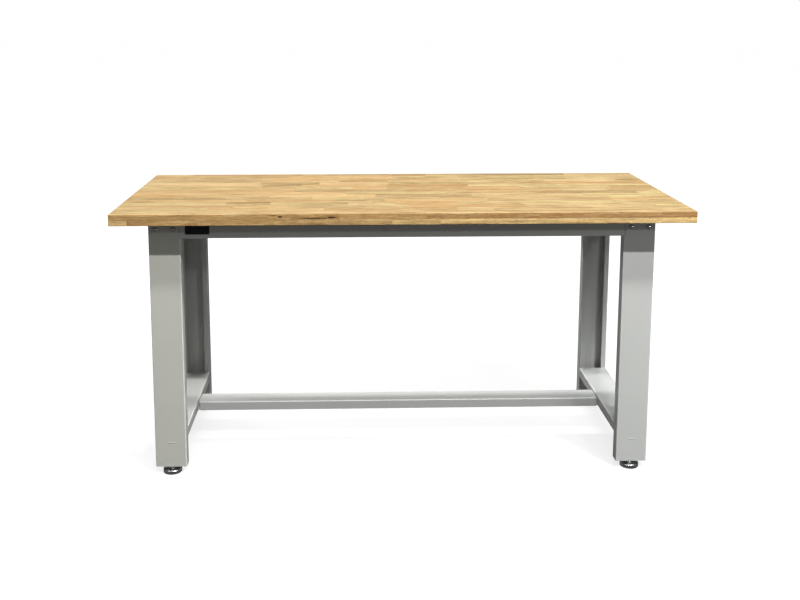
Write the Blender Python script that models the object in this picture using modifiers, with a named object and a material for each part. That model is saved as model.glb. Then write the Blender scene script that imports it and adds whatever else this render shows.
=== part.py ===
# Workbench: a folded steel frame on levelling feet, under a laminated wooden top.
# Units are metres. X runs along the bench, Y from front to back and Z up, with the floor at Z = 0.

import math

import bmesh
import bpy
from mathutils import Matrix, Vector

OBJECT_NAME = "workbench"

# Gaps between pieces that meet, and how far a cutter runs past what it cuts
FIT_GAP = 0.0003
NOTCH_GAP = 0.0005
OVERCUT = 0.002

# Wooden top, glued up from two layers, which hangs over the frame at its ends and at front and back
TOP_LENGTH = 1.800
TOP_DEPTH = 0.750
TOP_LAYER = 0.018
TOP_EDGE_ROUND = 0.002
TOP_END_OVERHANG = 0.100
TOP_FRONT_OVERHANG = 0.090

# Folded sheet of the frame
SHEET = 0.002
BEND_INSIDE = 0.002

# Legs: channels with the lips turned in, open towards the middle of the bench
LEG_LENGTH = 0.815
LEG_WIDTH = 0.100
LEG_DEPTH = 0.040
LEG_LIP = 0.018
LEG_BOTTOM = 0.024

# Aprons: channels along the front and the back, let into the legs
APRON_HEIGHT = 0.060
APRON_RETURN = 0.012
APRON_TO_LIP = 0.006

# Side rails: channels with their open side down, between the lips of the legs
RAIL_HEIGHT = 0.032
LOWER_RAIL_TOP = 0.145

# Stretcher between the lower rails, carried by an angle bracket inside each end
STRETCHER_WIDTH = 0.076
STRETCHER_HEIGHT = 0.031
STRETCHER_DROP = 0.003
STRETCHER_END_GAP = 0.006
BRACKET_SHEET = 0.003
BRACKET_REACH = 0.035

# Levelling feet: a threaded stem whose collar turns in a turned pad, under its hub
PAD_RADIUS = 0.030
PAD_EDGE = 0.0015
PAD_SHOULDER = 0.0035
PAD_RIM_HEIGHT = 0.014
PAD_HUB_RADIUS = 0.011
PAD_HUB_HEIGHT = 0.016
PAD_FLOOR = 0.004
STEM_RADIUS = 0.006
STEM_TOP = 0.085
STEM_CHAMFER = 0.001
COLLAR_OVER_STEM = 0.002
COLLAR_HEIGHT = 0.005
NECK_UNDER_STEM = 0.001
FOOT_PLATE_THICKNESS = 0.004
FOOT_NUT_FLATS = 0.019
FOOT_NUT_HEIGHT = 0.010

# Screws and nuts that hold the aprons to the legs
APRON_SCREW_SPACING = 0.055
APRON_SCREW_RADIUS = 0.004
APRON_SCREW_LENGTH = 0.016
APRON_SCREW_CHAMFER = 0.0008
APRON_SCREW_HEAD_RADIUS = 0.0075
APRON_SCREW_HEAD_HEIGHT = 0.0045
APRON_SCREW_HEAD_RIM = 0.002
APRON_NUT_FLATS = 0.013
APRON_NUT_HEIGHT = 0.0065

# Bolts that hold the stretcher's brackets to the lower rails
STRETCHER_BOLT_SPACING = 0.040
STRETCHER_BOLT_RADIUS = 0.004
STRETCHER_BOLT_LENGTH = 0.016
STRETCHER_BOLT_FLATS = 0.013
STRETCHER_BOLT_HEAD = 0.0053
STRETCHER_NUT_FLATS = 0.013
STRETCHER_NUT_HEIGHT = 0.0065

# Wood screws that hold the top, through the aprons and the upper side rails
TOP_SCREW_RADIUS = 0.0025
TOP_SCREW_LENGTH = 0.016
TOP_SCREW_POINT = 0.004
TOP_SCREW_HEAD_RADIUS = 0.005
TOP_SCREW_HEAD_HEIGHT = 0.003
TOP_SCREW_HEAD_RIM = 0.001
TOP_SCREW_ALONG = 0.350
TOP_SCREW_ACROSS = 0.150
TOP_SCREW_FROM_FACE = 0.020

# Blank plate on the front apron
NAME_PLATE_LENGTH = 0.076
NAME_PLATE_HEIGHT = 0.033
NAME_PLATE_THICKNESS = 0.001
NAME_PLATE_CORNER = 0.003
NAME_PLATE_FROM_LEG = 0.015

# Facets
BEND_STEPS = 4
EDGE_STEPS = 2
CORNER_STEPS = 3
HEAD_STEPS = 3
SHOULDER_STEPS = 4
PAD_SIDES = 36
STEM_SIDES = 24
SCREW_SIDES = 16
WOOD_SCREW_SIDES = 12
HEXAGON = 6
AXIS_MERGE = 0.00001
SHARP_ANGLE = math.radians(35)

# Places and sizes that follow from the ones above
BEND_RADIUS = BEND_INSIDE + SHEET
FRAME_TOP = LEG_BOTTOM + LEG_LENGTH
FRAME_LENGTH = TOP_LENGTH - 2 * TOP_END_OVERHANG
FRAME_DEPTH = TOP_DEPTH - 2 * TOP_FRONT_OVERHANG
LEG_X = FRAME_LENGTH / 2 - LEG_WIDTH / 2
LEG_Y = FRAME_DEPTH / 2 - LEG_DEPTH / 2
LEG_INNER_X = FRAME_LENGTH / 2 - LEG_WIDTH
APRON_FACE = FRAME_DEPTH / 2 - SHEET - FIT_GAP
APRON_FLANGE = LEG_DEPTH - 2 * SHEET - FIT_GAP - APRON_TO_LIP
APRON_LENGTH = FRAME_LENGTH - 2 * (SHEET + BEND_RADIUS)
APRON_MIDDLE = FRAME_TOP - APRON_HEIGHT / 2
RAIL_LENGTH = FRAME_DEPTH - 2 * (LEG_DEPTH + FIT_GAP)
STRETCHER_TOP = LOWER_RAIL_TOP - STRETCHER_DROP
STRETCHER_LENGTH = 2 * (LEG_INNER_X - STRETCHER_END_GAP)
BRACKET_FACE = LEG_INNER_X - FIT_GAP
BRACKET_TOP = STRETCHER_TOP - SHEET - FIT_GAP
BRACKET_HEIGHT = STRETCHER_HEIGHT - SHEET - FIT_GAP
BRACKET_WIDTH = STRETCHER_WIDTH - 2 * BEND_RADIUS
BOLT_Z = BRACKET_TOP - BRACKET_HEIGHT / 2
BOLT_SEAT = LEG_INNER_X + SHEET + FIT_GAP
NECK_RADIUS = STEM_RADIUS - NECK_UNDER_STEM
NECK_TOP = PAD_HUB_HEIGHT + NOTCH_GAP
MOUTH_RADIUS = NECK_RADIUS + FIT_GAP
COLLAR_RADIUS = STEM_RADIUS + COLLAR_OVER_STEM
COLLAR_BOTTOM = PAD_FLOOR + FIT_GAP
COLLAR_TOP = COLLAR_BOTTOM + COLLAR_HEIGHT
SOCKET_RADIUS = COLLAR_RADIUS + FIT_GAP
SOCKET_TOP = COLLAR_TOP + FIT_GAP
LOWER_LAYER_BOTTOM = FRAME_TOP + FIT_GAP
UPPER_LAYER_BOTTOM = LOWER_LAYER_BOTTOM + TOP_LAYER + FIT_GAP
TOP_SCREW_SEAT = FRAME_TOP - SHEET - FIT_GAP
TOP_SCREW_Y = APRON_FACE - TOP_SCREW_FROM_FACE
SIDES = (("left", -1), ("right", 1))
ENDS = (("front", -1), ("rear", 1))
X_AXIS = (1, 0, 0)
Y_AXIS = (0, 1, 0)
Z_AXIS = (0, 0, 1)
HERE = Matrix.Identity(4)

for old in list(bpy.data.objects):
    bpy.data.objects.remove(old, do_unlink=True)

PARTS = bpy.data.collections.new(OBJECT_NAME)
CUTTERS = bpy.data.collections.new(OBJECT_NAME + "_cutters")
for group in (PARTS, CUTTERS):
    bpy.context.scene.collection.children.link(group)


def material(name, colour, metallic, roughness):
    """A plain Principled material."""
    made = bpy.data.materials.new(name)
    made.use_nodes = True
    shader = made.node_tree.nodes["Principled BSDF"]
    shader.inputs["Base Color"].default_value = (*colour, 1.0)
    shader.inputs["Metallic"].default_value = metallic
    shader.inputs["Roughness"].default_value = roughness
    made.diffuse_color = (*colour, 1.0)
    return made


WOOD = material("laminated_wood", (0.55, 0.36, 0.19), 0.0, 0.5)
PAINT = material("grey_paint", (0.48, 0.48, 0.47), 0.0, 0.45)
CHROME = material("chrome", (0.75, 0.76, 0.77), 1.0, 0.12)
ZINC = material("zinc", (0.60, 0.61, 0.62), 1.0, 0.35)
BLACK = material("black_plate", (0.02, 0.02, 0.02), 0.0, 0.4)


def empty(name, matrix, parent=None):
    """A parent for pieces that belong together."""
    obj = bpy.data.objects.new(name, None)
    obj.parent = parent
    obj.matrix_basis = matrix
    PARTS.objects.link(obj)
    return obj


BENCH = empty("workbench_frame", HERE)


def add(name, mesh, matrix, finish, parent=BENCH):
    """One part, placed in its parent by a matrix. Parts of one shape share a mesh."""
    obj = bpy.data.objects.new(name, mesh)
    obj.parent = parent
    obj.matrix_basis = matrix
    if not mesh.materials:
        mesh.materials.append(finish)
    PARTS.objects.link(obj)
    return obj


def helper(name, mesh, matrix):
    """A shape that is only used to cut or to join."""
    obj = bpy.data.objects.new(name, mesh)
    obj.matrix_basis = matrix
    obj.hide_render = True
    obj.display_type = "WIRE"
    CUTTERS.objects.link(obj)
    return obj


def combine(obj, other, operation):
    """A live Boolean of an object with a helper."""
    made = obj.modifiers.new(operation.lower() + "_" + other.name, "BOOLEAN")
    made.operation = operation
    made.solver = "EXACT"
    made.object = other


def baked(*objects):
    """The evaluated mesh of the first of some temporary objects, which are then removed."""
    graph = bpy.context.evaluated_depsgraph_get()
    mesh = bpy.data.meshes.new_from_object(objects[0].evaluated_get(graph))
    for obj in objects:
        bpy.data.objects.remove(obj, do_unlink=True)
    return mesh


def mesh_of(name, bm):
    """The mesh of a bmesh, with its faces turned outwards."""
    bmesh.ops.recalc_face_normals(bm, faces=bm.faces)
    mesh = bpy.data.meshes.new(name)
    bm.to_mesh(mesh)
    bm.free()
    return mesh


def at(x, y, z):
    return Matrix.Translation((x, y, z))


def pointing(direction):
    """The rotation that takes +Z to a direction."""
    return Vector(direction).to_track_quat("Z", "Y").to_matrix().to_4x4()


def half_turn(turn):
    """A half turn about Z, or none."""
    return Matrix.Rotation(math.pi if turn else 0.0, 4, "Z")


def rounded_path(corners, radius):
    """The points of a folded section, with an arc at each right-angled fold."""
    points = [Vector(corners[0])]
    for before, corner, after in zip(corners, corners[1:], corners[2:]):
        corner = Vector(corner)
        back = (Vector(before) - corner).normalized() * radius
        onward = (Vector(after) - corner).normalized() * radius
        centre = corner + back + onward
        for step in range(BEND_STEPS + 1):
            turn = math.pi / 2 * step / BEND_STEPS
            points.append(centre - onward * math.cos(turn) - back * math.sin(turn))
    points.append(Vector(corners[-1]))
    return points


def folded_sheet(name, corners, length, sheet, matrix):
    """A channel along local Z. The corners run anticlockwise round the outside of its section."""
    bm = bmesh.new()
    path = rounded_path(corners, BEND_INSIDE + sheet)
    verts = [bm.verts.new((point.x, point.y, -length / 2)) for point in path]
    edges = [bm.edges.new(pair) for pair in zip(verts, verts[1:])]
    grown = bmesh.ops.extrude_edge_only(bm, edges=edges)["geom"]
    moved = [item for item in grown if isinstance(item, bmesh.types.BMVert)]
    bmesh.ops.translate(bm, verts=moved, vec=(0, 0, length))
    bm.normal_update()
    outward = (verts[1].co - verts[0].co).cross(Vector(Z_AXIS))
    if edges[0].link_faces[0].normal.dot(outward) < 0:
        bmesh.ops.reverse_faces(bm, faces=bm.faces)
    mesh = bpy.data.meshes.new(name)
    bm.to_mesh(mesh)
    bm.free()
    obj = add(name, mesh, matrix, PAINT)
    thick = obj.modifiers.new("sheet_thickness", "SOLIDIFY")
    thick.thickness = sheet
    thick.offset = -1
    thick.use_even_offset = True
    return obj


def add_box(bm, low, high):
    """A box between two corners."""
    low = Vector(low)
    high = Vector(high)
    scale = Matrix.Diagonal((*(high - low), 1.0))
    bmesh.ops.create_cube(bm, size=1.0, matrix=at(*(low + high) / 2) @ scale)


def add_bar(bm, centre, direction, radius, length, sides):
    """A round or many-sided bar about its centre."""
    bmesh.ops.create_cone(
        bm,
        cap_ends=True,
        segments=sides,
        radius1=radius,
        radius2=radius,
        depth=length,
        matrix=at(*centre) @ pointing(direction),
    )


def bars(name, centres, direction, radius, length, sides, matrix=HERE):
    """Helper bars that all run in one direction."""
    bm = bmesh.new()
    for centre in centres:
        add_bar(bm, centre, direction, radius, length, sides)
    return helper(name, mesh_of(name, bm), matrix)


def hexagon_radius(flats):
    return flats / 2 / math.cos(math.pi / HEXAGON)


def rounded_plate(name, size, corner, matrix, finish):
    """A flat plate, thin along local Z, with round corners."""
    half = Vector(size) / 2
    bm = bmesh.new()
    add_box(bm, -half, half)
    upright = [edge for edge in bm.edges if edge.verts[0].co.z * edge.verts[1].co.z < 0]
    bmesh.ops.bevel(bm, geom=upright, offset=corner, segments=CORNER_STEPS, profile=0.5, affect="EDGES")
    return add(name, mesh_of(name, bm), matrix, finish)


def turned_mesh(name, profile, sides):
    """A turned piece. Its profile of (radius, height) runs down the outer side."""
    outline = bpy.data.meshes.new(name + "_outline")
    links = [(i, i + 1) for i in range(len(profile) - 1)]
    outline.from_pydata([(radius, 0, height) for radius, height in profile], links, [])
    spun = helper(name, outline, HERE)
    spin = spun.modifiers.new("turning", "SCREW")
    spin.axis = "Z"
    spin.angle = 2 * math.pi
    spin.steps = sides
    spin.render_steps = sides
    spin.use_merge_vertices = True
    spin.merge_threshold = AXIS_MERGE
    mesh = baked(spun)
    mesh.shade_smooth()
    mesh.set_sharp_from_angle(angle=SHARP_ANGLE)
    return mesh


def quarter_round(radius, height, across, up, steps):
    """Profile points on a quarter of an ellipse, from its top out to its side."""
    turns = [math.pi / 2 * step / steps for step in range(steps + 1)]
    return [(radius + across * math.sin(turn), height + up * math.cos(turn)) for turn in turns]


def screw_head(radius, height, rim):
    """The profile of a round head on its seat at height 0."""
    return (*quarter_round(0.0, rim, radius, height - rim, HEAD_STEPS), (radius, 0.0))


# Section axes: across and up, with the length along X or along Y
ALONG_X = Matrix(((0, 0, 1, 0), (1, 0, 0, 0), (0, 1, 0, 0), (0, 0, 0, 1)))
ALONG_Y = Matrix(((1, 0, 0, 0), (0, 0, -1, 0), (0, 1, 0, 0), (0, 0, 0, 1)))


# Wooden top
def top_layer(name, bottom, faces_up):
    """One layer, with round corners and a round edge to its outer face."""
    bm = bmesh.new()
    half = Vector((TOP_LENGTH, TOP_DEPTH, TOP_LAYER)) / 2
    add_box(bm, -half, half)
    edges = []
    for edge in bm.edges:
        heights = [vert.co.z for vert in edge.verts]
        upright = heights[0] * heights[1] < 0
        outer = all((height > 0) == faces_up for height in heights)
        if upright or outer:
            edges.append(edge)
    bmesh.ops.bevel(
        bm, geom=edges, offset=TOP_EDGE_ROUND, segments=EDGE_STEPS, profile=0.5, affect="EDGES"
    )
    return add(name, mesh_of(name, bm), at(0, 0, bottom + TOP_LAYER / 2), WOOD)


TOP_SCREWS = {}
for end, sy in ENDS:
    for side, sx in SIDES:
        TOP_SCREWS[f"apron_{end}_{side}"] = (sx * TOP_SCREW_ALONG, sy * TOP_SCREW_Y)
        TOP_SCREWS[f"rail_{end}_{side}"] = (sx * LEG_X, sy * TOP_SCREW_ACROSS)

top_layer("top_upper_layer", UPPER_LAYER_BOTTOM, True)
lower_layer = top_layer("top_lower_layer", LOWER_LAYER_BOTTOM, False)
pilot_top = TOP_SCREW_SEAT + TOP_SCREW_LENGTH + FIT_GAP
pilot_length = pilot_top - FRAME_TOP + OVERCUT
pilots = bars(
    "top_screw_pilots",
    [(x, y, pilot_top - pilot_length / 2) for x, y in TOP_SCREWS.values()],
    Z_AXIS,
    TOP_SCREW_RADIUS + FIT_GAP,
    pilot_length,
    WOOD_SCREW_SIDES,
)
combine(lower_layer, pilots, "DIFFERENCE")

TOP_SCREW = turned_mesh(
    "top_screw",
    (
        *screw_head(TOP_SCREW_HEAD_RADIUS, TOP_SCREW_HEAD_HEIGHT, TOP_SCREW_HEAD_RIM),
        (TOP_SCREW_RADIUS, 0.0),
        (TOP_SCREW_RADIUS, TOP_SCREW_POINT - TOP_SCREW_LENGTH),
        (0.0, -TOP_SCREW_LENGTH),
    ),
    WOOD_SCREW_SIDES,
)
for label, (x, y) in TOP_SCREWS.items():
    add(f"top_screw_{label}", TOP_SCREW, at(x, y, TOP_SCREW_SEAT) @ pointing((0, 0, -1)), ZINC)


# Legs
LEG_SECTION = (
    (LEG_LIP - LEG_WIDTH / 2, LEG_DEPTH / 2),
    (-LEG_WIDTH / 2, LEG_DEPTH / 2),
    (-LEG_WIDTH / 2, -LEG_DEPTH / 2),
    (LEG_WIDTH / 2, -LEG_DEPTH / 2),
    (LEG_WIDTH / 2, LEG_DEPTH / 2),
    (LEG_WIDTH / 2 - LEG_LIP, LEG_DEPTH / 2),
)


def leg_cutter(name, inner, matrix):
    """The notch that lets the apron in at the top of the inner side, and the two screw holes."""
    top = LEG_LENGTH / 2
    notch_from = inner * (LEG_WIDTH / 2 - BEND_RADIUS - NOTCH_GAP)
    notch_to = inner * (LEG_WIDTH / 2 + OVERCUT)
    notch_back = APRON_FLANGE + SHEET + FIT_GAP + NOTCH_GAP - LEG_DEPTH / 2
    bm = bmesh.new()
    add_box(
        bm,
        (min(notch_from, notch_to), -LEG_DEPTH / 2 - OVERCUT, top - APRON_HEIGHT - NOTCH_GAP),
        (max(notch_from, notch_to), notch_back, top + OVERCUT),
    )
    for sign in (-1, 1):
        centre = (sign * APRON_SCREW_SPACING / 2, SHEET / 2 - LEG_DEPTH / 2, top - APRON_HEIGHT / 2)
        add_bar(bm, centre, Y_AXIS, APRON_SCREW_RADIUS + FIT_GAP, SHEET + 2 * OVERCUT, SCREW_SIDES)
    return helper(name, mesh_of(name, bm), matrix)


for end, sy in ENDS:
    for side, sx in SIDES:
        placed = at(sx * LEG_X, sy * LEG_Y, LEG_BOTTOM + LEG_LENGTH / 2) @ half_turn(sy > 0)
        leg = folded_sheet(f"leg_{end}_{side}", LEG_SECTION, LEG_LENGTH, SHEET, placed)
        combine(leg, leg_cutter(f"leg_cutter_{end}_{side}", sx * sy, placed), "DIFFERENCE")


# Aprons, with a narrow return along the lower edge so that the top's screws can be reached
APRON_SECTION = (
    (APRON_FLANGE, APRON_HEIGHT / 2),
    (0.0, APRON_HEIGHT / 2),
    (0.0, -APRON_HEIGHT / 2),
    (APRON_RETURN, -APRON_HEIGHT / 2),
)

for end, sy in ENDS:
    placed = at(0, sy * APRON_FACE, APRON_MIDDLE) @ half_turn(sy > 0)
    apron = folded_sheet(f"apron_{end}", APRON_SECTION, APRON_LENGTH, SHEET, placed @ ALONG_X)
    bm = bmesh.new()
    for _, sx in SIDES:
        for sign in (-1, 1):
            centre = (sx * LEG_X + sign * APRON_SCREW_SPACING / 2, SHEET / 2, 0)
            add_bar(bm, centre, Y_AXIS, APRON_SCREW_RADIUS + FIT_GAP, SHEET + 2 * OVERCUT, SCREW_SIDES)
        centre = (sx * TOP_SCREW_ALONG, TOP_SCREW_FROM_FACE, APRON_HEIGHT / 2 - SHEET / 2)
        add_bar(bm, centre, Z_AXIS, TOP_SCREW_RADIUS + FIT_GAP, SHEET + 2 * OVERCUT, WOOD_SCREW_SIDES)
    name = f"apron_cutter_{end}"
    combine(apron, helper(name, mesh_of(name, bm), placed), "DIFFERENCE")


# Screws and nuts of the aprons
def hexagon_with(name, flats, height, other, operation):
    """A hexagon standing on its seat at height 0, cut by or joined to another shape."""
    bm = bmesh.new()
    add_bar(bm, (0, 0, height / 2), Z_AXIS, hexagon_radius(flats), height, HEXAGON)
    block = helper(name, mesh_of(name, bm), HERE)
    combine(block, other, operation)
    return baked(block, other)


APRON_SCREW = turned_mesh(
    "apron_screw",
    (
        *screw_head(APRON_SCREW_HEAD_RADIUS, APRON_SCREW_HEAD_HEIGHT, APRON_SCREW_HEAD_RIM),
        (APRON_SCREW_RADIUS, 0.0),
        (APRON_SCREW_RADIUS, APRON_SCREW_CHAMFER - APRON_SCREW_LENGTH),
        (APRON_SCREW_RADIUS - APRON_SCREW_CHAMFER, -APRON_SCREW_LENGTH),
        (0.0, -APRON_SCREW_LENGTH),
    ),
    SCREW_SIDES,
)
nut_bore = bars(
    "apron_nut_bore",
    [(0, 0, APRON_NUT_HEIGHT / 2)],
    Z_AXIS,
    APRON_SCREW_RADIUS + FIT_GAP,
    APRON_NUT_HEIGHT + 2 * OVERCUT,
    SCREW_SIDES,
)
APRON_NUT = hexagon_with("apron_nut", APRON_NUT_FLATS, APRON_NUT_HEIGHT, nut_bore, "DIFFERENCE")

for end, sy in ENDS:
    for side, sx in SIDES:
        for place, sign in (("outer", 1), ("inner", -1)):
            x = sx * (LEG_X + sign * APRON_SCREW_SPACING / 2)
            label = f"{end}_{side}_{place}"
            seat = at(x, sy * (FRAME_DEPTH / 2 + FIT_GAP), APRON_MIDDLE)
            add(f"apron_screw_{label}", APRON_SCREW, seat @ pointing((0, sy, 0)), ZINC)
            seat = at(x, sy * (APRON_FACE - SHEET - FIT_GAP), APRON_MIDDLE)
            add(f"apron_nut_{label}", APRON_NUT, seat @ pointing((0, -sy, 0)), ZINC)


# Side rails
RAIL_SECTION = (
    (LEG_WIDTH / 2, -RAIL_HEIGHT),
    (LEG_WIDTH / 2, 0.0),
    (-LEG_WIDTH / 2, 0.0),
    (-LEG_WIDTH / 2, -RAIL_HEIGHT),
)
BOLT_YS = {end: sy * STRETCHER_BOLT_SPACING / 2 for end, sy in ENDS}

for side, sx in SIDES:
    placed = at(sx * LEG_X, 0, LOWER_RAIL_TOP) @ ALONG_Y
    lower = folded_sheet(f"rail_lower_{side}", RAIL_SECTION, RAIL_LENGTH, SHEET, placed)
    drill = bars(
        f"rail_lower_cutter_{side}",
        [(sx * (LEG_INNER_X + SHEET / 2), y, BOLT_Z) for y in BOLT_YS.values()],
        X_AXIS,
        STRETCHER_BOLT_RADIUS + FIT_GAP,
        SHEET + 2 * OVERCUT,
        SCREW_SIDES,
    )
    combine(lower, drill, "DIFFERENCE")

    placed = at(sx * LEG_X, 0, FRAME_TOP) @ ALONG_Y
    upper = folded_sheet(f"rail_upper_{side}", RAIL_SECTION, RAIL_LENGTH, SHEET, placed)
    drill = bars(
        f"rail_upper_cutter_{side}",
        [(sx * LEG_X, sy * TOP_SCREW_ACROSS, FRAME_TOP - SHEET / 2) for _, sy in ENDS],
        Z_AXIS,
        TOP_SCREW_RADIUS + FIT_GAP,
        SHEET + 2 * OVERCUT,
        WOOD_SCREW_SIDES,
    )
    combine(upper, drill, "DIFFERENCE")


# Stretcher, with its brackets and bolts
STRETCHER_SECTION = (
    (STRETCHER_WIDTH / 2, -STRETCHER_HEIGHT),
    (STRETCHER_WIDTH / 2, 0.0),
    (-STRETCHER_WIDTH / 2, 0.0),
    (-STRETCHER_WIDTH / 2, -STRETCHER_HEIGHT),
)
BRACKET_SECTION = (
    (0.0, -BRACKET_HEIGHT),
    (0.0, 0.0),
    (-BRACKET_REACH, 0.0),
)
placed = at(0, 0, STRETCHER_TOP) @ ALONG_X
folded_sheet("stretcher", STRETCHER_SECTION, STRETCHER_LENGTH, SHEET, placed)

shank_length = STRETCHER_BOLT_LENGTH + STRETCHER_BOLT_HEAD / 2
shank = bars(
    "stretcher_bolt_shank",
    [(0, 0, STRETCHER_BOLT_HEAD / 2 - shank_length / 2)],
    Z_AXIS,
    STRETCHER_BOLT_RADIUS,
    shank_length,
    SCREW_SIDES,
)
STRETCHER_BOLT = hexagon_with("stretcher_bolt", STRETCHER_BOLT_FLATS, STRETCHER_BOLT_HEAD, shank, "UNION")

for side, sx in SIDES:
    placed = at(sx * BRACKET_FACE, 0, BRACKET_TOP) @ half_turn(sx < 0)
    name = f"stretcher_bracket_{side}"
    bracket = folded_sheet(name, BRACKET_SECTION, BRACKET_WIDTH, BRACKET_SHEET, placed @ ALONG_Y)
    # The nuts are welded on, so they reach into the sheet
    nut_from = -BRACKET_SHEET / 2
    nut_to = -BRACKET_SHEET - STRETCHER_NUT_HEIGHT
    nuts = bars(
        f"stretcher_nuts_{side}",
        [((nut_from + nut_to) / 2, y, BOLT_Z - BRACKET_TOP) for y in BOLT_YS.values()],
        X_AXIS,
        hexagon_radius(STRETCHER_NUT_FLATS),
        nut_from - nut_to,
        HEXAGON,
        placed,
    )
    combine(bracket, nuts, "UNION")
    drill = bars(
        f"stretcher_bracket_cutter_{side}",
        [(nut_to / 2, y, BOLT_Z - BRACKET_TOP) for y in BOLT_YS.values()],
        X_AXIS,
        STRETCHER_BOLT_RADIUS + FIT_GAP,
        2 * OVERCUT - nut_to,
        SCREW_SIDES,
        placed,
    )
    combine(bracket, drill, "DIFFERENCE")
    for end, y in BOLT_YS.items():
        seat = at(sx * BOLT_SEAT, y, BOLT_Z) @ pointing((sx, 0, 0))
        add(f"stretcher_bolt_{side}_{end}", STRETCHER_BOLT, seat, ZINC)


# Levelling feet, each on an empty that stands on the axis of its stem
STEM = turned_mesh(
    "foot_stem",
    (
        (0.0, STEM_TOP),
        (STEM_RADIUS - STEM_CHAMFER, STEM_TOP),
        (STEM_RADIUS, STEM_TOP - STEM_CHAMFER),
        (STEM_RADIUS, NECK_TOP + NECK_UNDER_STEM),
        (NECK_RADIUS, NECK_TOP),
        (NECK_RADIUS, COLLAR_TOP),
        (COLLAR_RADIUS, COLLAR_TOP),
        (COLLAR_RADIUS, COLLAR_BOTTOM),
        (0.0, COLLAR_BOTTOM),
    ),
    STEM_SIDES,
)
PAD = turned_mesh(
    "foot_pad",
    (
        (0.0, PAD_FLOOR),
        (SOCKET_RADIUS, PAD_FLOOR),
        (SOCKET_RADIUS, SOCKET_TOP),
        (MOUTH_RADIUS, SOCKET_TOP),
        (MOUTH_RADIUS, PAD_HUB_HEIGHT),
        (PAD_HUB_RADIUS - PAD_EDGE, PAD_HUB_HEIGHT),
        (PAD_HUB_RADIUS, PAD_HUB_HEIGHT - PAD_EDGE),
        *quarter_round(
            PAD_RADIUS - PAD_SHOULDER,
            PAD_RIM_HEIGHT - PAD_SHOULDER,
            PAD_SHOULDER,
            PAD_SHOULDER,
            SHOULDER_STEPS,
        ),
        (PAD_RADIUS, PAD_EDGE),
        (PAD_RADIUS - PAD_EDGE, 0.0),
        (0.0, 0.0),
    ),
    PAD_SIDES,
)
FOOT_PLATE_SIZE = (
    LEG_WIDTH - 2 * (SHEET + FIT_GAP),
    LEG_DEPTH - 2 * (SHEET + FIT_GAP),
    FOOT_PLATE_THICKNESS,
)

for end, sy in ENDS:
    for side, sx in SIDES:
        label = f"{end}_{side}"
        foot = empty(f"foot_axis_{label}", at(sx * LEG_X, sy * LEG_Y, 0), BENCH)
        add(f"foot_pad_{label}", PAD, HERE, CHROME, foot)
        add(f"foot_stem_{label}", STEM, HERE, ZINC, foot)

        placed = at(sx * LEG_X, sy * LEG_Y, LEG_BOTTOM + FOOT_PLATE_THICKNESS / 2)
        plate = rounded_plate(f"foot_plate_{label}", FOOT_PLATE_SIZE, BEND_RADIUS, placed, PAINT)
        # The nut is welded on, so it reaches into the plate
        nut_length = FOOT_NUT_HEIGHT + FOOT_PLATE_THICKNESS / 2
        nut = bars(
            f"foot_nut_{label}",
            [(0, 0, nut_length / 2)],
            Z_AXIS,
            hexagon_radius(FOOT_NUT_FLATS),
            nut_length,
            HEXAGON,
            placed,
        )
        combine(plate, nut, "UNION")
        drill = bars(
            f"foot_plate_cutter_{label}",
            [(0, 0, 0)],
            Z_AXIS,
            STEM_RADIUS + FIT_GAP,
            2 * (nut_length + OVERCUT),
            STEM_SIDES,
            placed,
        )
        combine(plate, drill, "DIFFERENCE")


# Blank plate, flat on the front apron
name_plate_x = NAME_PLATE_FROM_LEG + NAME_PLATE_LENGTH / 2 - LEG_INNER_X
name_plate_y = -APRON_FACE - FIT_GAP - NAME_PLATE_THICKNESS / 2
rounded_plate(
    "name_plate",
    (NAME_PLATE_LENGTH, NAME_PLATE_HEIGHT, NAME_PLATE_THICKNESS),
    NAME_PLATE_CORNER,
    at(name_plate_x, name_plate_y, APRON_MIDDLE) @ Matrix.Rotation(math.pi / 2, 4, "X"),
    BLACK,
)
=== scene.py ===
# Looks of the workbench: laminated wooden top, powder-coated folded frame and plated fittings.
# Units are metres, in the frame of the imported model: X along the bench, Y to the back, Z up.

import math
import random
from collections import namedtuple

import bmesh
import bpy
from mathutils import Matrix, Vector


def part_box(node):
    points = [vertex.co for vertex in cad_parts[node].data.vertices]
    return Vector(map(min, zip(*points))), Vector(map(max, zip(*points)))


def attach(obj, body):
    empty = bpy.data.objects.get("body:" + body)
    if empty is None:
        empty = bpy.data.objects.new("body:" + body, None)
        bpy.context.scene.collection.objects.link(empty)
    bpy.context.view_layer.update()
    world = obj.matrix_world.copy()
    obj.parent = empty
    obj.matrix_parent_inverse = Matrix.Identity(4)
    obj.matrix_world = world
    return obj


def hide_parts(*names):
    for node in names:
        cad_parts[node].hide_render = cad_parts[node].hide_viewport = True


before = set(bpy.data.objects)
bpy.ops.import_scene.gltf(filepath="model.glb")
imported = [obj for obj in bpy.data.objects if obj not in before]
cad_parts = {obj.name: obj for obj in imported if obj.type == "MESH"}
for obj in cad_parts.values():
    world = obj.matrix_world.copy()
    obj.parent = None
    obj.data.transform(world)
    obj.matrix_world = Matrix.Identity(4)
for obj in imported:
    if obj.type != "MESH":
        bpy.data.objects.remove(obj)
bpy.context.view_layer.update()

SIDES = (("left", -1), ("right", 1))
ENDS = (("front", -1), ("rear", 1))
BENCH = "bench"
WHITE = (1.0, 1.0, 1.0, 1.0)
X, Y, Z = range(3)

# Camera that fits the photograph
CAMERA_PLACE = (-0.159, -3.269, 1.466)
CAMERA_LENS_MM = 43.64
CAMERA_PITCH_DEG = 8.38
CAMERA_YAW_DEG = -1.60
CAMERA_SHIFT_X = 0.0256
CAMERA_SHIFT_Y = -0.175

# Gaps between pieces that fit into each other, and the wider ones of the notches and over the pads
FIT_GAP = 0.0003
NOTCH_GAP = 0.0005

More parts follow.
